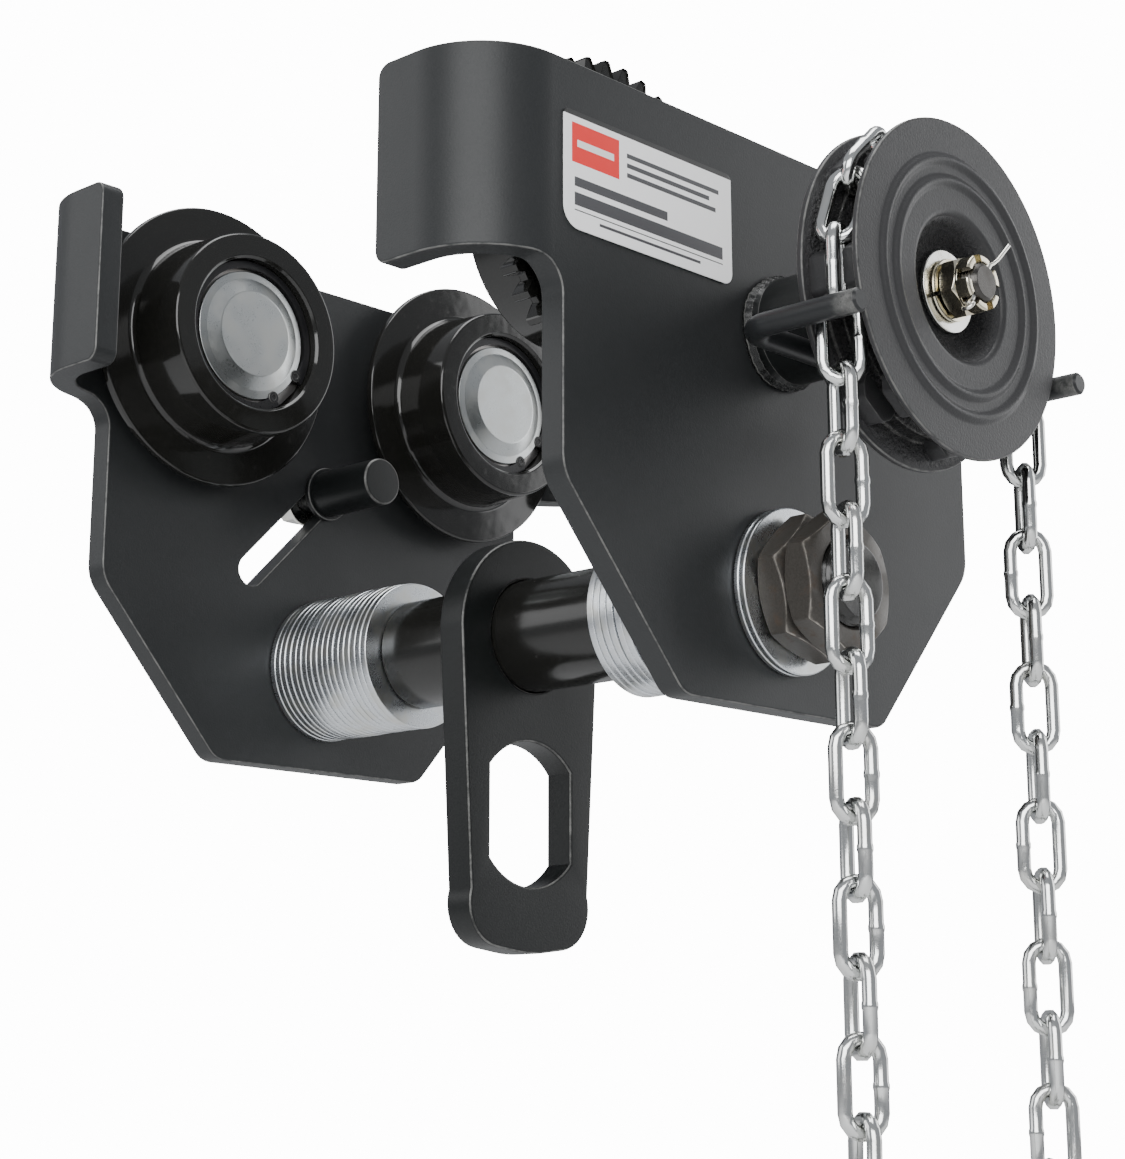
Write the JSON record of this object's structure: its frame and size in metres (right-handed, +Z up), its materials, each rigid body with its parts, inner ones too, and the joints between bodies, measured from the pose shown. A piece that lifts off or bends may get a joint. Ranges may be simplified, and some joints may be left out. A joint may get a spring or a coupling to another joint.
{
  "type": "beam trolley",
  "caption": "Geared trolley that rolls on a beam's lower flanges, with bumpered side plates, a hand chain drive and a slotted plate for a hoist.",
  "frame": {"origin": "on the beam flange's running surface, under the wheels' treads, midway between the side plates and between the wheels", "axes": "+X across the beam towards the geared side and its hand chain wheel, +Y along the beam, +Z up"},
  "size_m": [0.4666, 0.358, 0.8365],
  "materials": {
    "plate_paint": "satin",
    "wheel_enamel": "gloss",
    "bearing_steel": "satin",
    "cap_zinc": "satin",
    "ring_phosphate": "satin",
    "shaft_enamel": "gloss",
    "washer_zinc": "satin",
    "nut_oxide": "satin",
    "suspension_paint": "satin",
    "pinion_steel": "satin",
    "bush_bronze": "satin",
    "hand_wheel_paint": "satin",
    "fastener_zinc": "satin",
    "castle_nut_zinc": "satin",
    "guide_paint": "satin",
    "chain_zinc": "satin",
    "hank": "satin",
    "tie_nylon": "satin",
    "nameplate_white": "satin"
  },
  "bodies": {
    "frame": {"side_plate_plain": "plate_paint", "side_plate_geared": "plate_paint", "stub_axle_plain_near": "bearing_steel", "stub_axle_plain_far": "bearing_steel", "stub_axle_geared_near": "bearing_steel", "stub_axle_geared_far": "bearing_steel", "pinion_boss": "plate_paint", "pinion_bush_inner": "bush_bronze", "pinion_bush_outer": "bush_bronze", "chain_guide": "guide_paint", "nameplate": "nameplate_white", "hand_chain_far_run": "chain_zinc", "hand_chain_near_run": "chain_zinc", "hand_chain_hank": "hank", "hank_tie": "tie_nylon"},
    "hand_drive": {"pinion_shaft": "pinion_steel", "hand_chain_wheel": "hand_wheel_paint", "hand_wheel_washer": "fastener_zinc", "spring_washer": "fastener_zinc", "castle_nut": "castle_nut_zinc", "split_pin": "fastener_zinc"},
    "load_bar": {"load_shaft": "shaft_enamel", "suspension_plate": "suspension_paint", "spacer_washers_plain": "washer_zinc", "shaft_washer_plain_inner": "washer_zinc", "shaft_washer_plain_outer": "washer_zinc", "shaft_nut_plain": "nut_oxide", "lock_nut_plain": "nut_oxide", "spacer_washers_geared": "washer_zinc", "shaft_washer_geared_inner": "washer_zinc", "shaft_washer_geared_outer": "washer_zinc", "shaft_nut_geared": "nut_oxide", "lock_nut_geared": "nut_oxide"},
    "tilt_stop": {"tilt_stop_peg": "shaft_enamel", "tilt_stop_washer": "washer_zinc", "tilt_stop_nut": "washer_zinc"},
    "wheel_plain_near": {"track_wheel_plain_near": "wheel_enamel", "wheel_bearing_plain_near": "bearing_steel", "dust_cap_plain_near": "cap_zinc", "retaining_ring_plain_near": "ring_phosphate"},
    "wheel_plain_far": {"track_wheel_plain_far": "wheel_enamel", "wheel_bearing_plain_far": "bearing_steel", "dust_cap_plain_far": "cap_zinc", "retaining_ring_plain_far": "ring_phosphate"},
    "wheel_geared_near": {"track_wheel_geared_near": "wheel_enamel", "wheel_bearing_geared_near": "bearing_steel", "dust_cap_geared_near": "cap_zinc", "retaining_ring_geared_near": "ring_phosphate"},
    "wheel_geared_far": {"track_wheel_geared_far": "wheel_enamel", "wheel_bearing_geared_far": "bearing_steel", "dust_cap_geared_far": "cap_zinc", "retaining_ring_geared_far": "ring_phosphate"}
  },
  "joints": [
    {"name": "wheel_plain_near_spin", "type": "hinge", "parent": "frame", "child": "wheel_plain_near", "pos_m": [-0.12, -0.0843, 0.049], "axis": [1, 0, 0], "continuous": true},
    {"name": "wheel_plain_far_spin", "type": "hinge", "parent": "frame", "child": "wheel_plain_far", "pos_m": [-0.12, 0.0843, 0.049], "axis": [1, 0, 0], "continuous": true},
    {"name": "wheel_geared_near_spin", "type": "hinge", "parent": "frame", "child": "wheel_geared_near", "pos_m": [0.12, -0.0843, 0.049], "axis": [1, 0, 0], "continuous": true},
    {"name": "wheel_geared_far_spin", "type": "hinge", "parent": "frame", "child": "wheel_geared_far", "pos_m": [0.12, 0.0843, 0.049], "axis": [1, 0, 0], "continuous": true},
    {"name": "hand_drive_spin", "type": "hinge", "parent": "frame", "child": "hand_drive", "pos_m": [0.2, 0, 0.01473], "axis": [1, 0, 0], "continuous": true},
    {"name": "load_bar_swing", "type": "hinge", "parent": "frame", "child": "load_bar", "pos_m": [0, 0, -0.0973], "axis": [1, 0, 0], "range_deg": [-20, 20]},
    {"name": "tilt_stop_slide", "type": "slide", "parent": "frame", "child": "tilt_stop", "axis": [0, -0.7071, -0.7071], "range_m": [0, 0.062]}
  ],
  "couplings": [
    {"joint": "wheel_geared_near_spin", "follows": "hand_drive_spin", "ratio": -0.40541},
    {"joint": "wheel_geared_far_spin", "follows": "hand_drive_spin", "ratio": -0.40541}
  ]
}
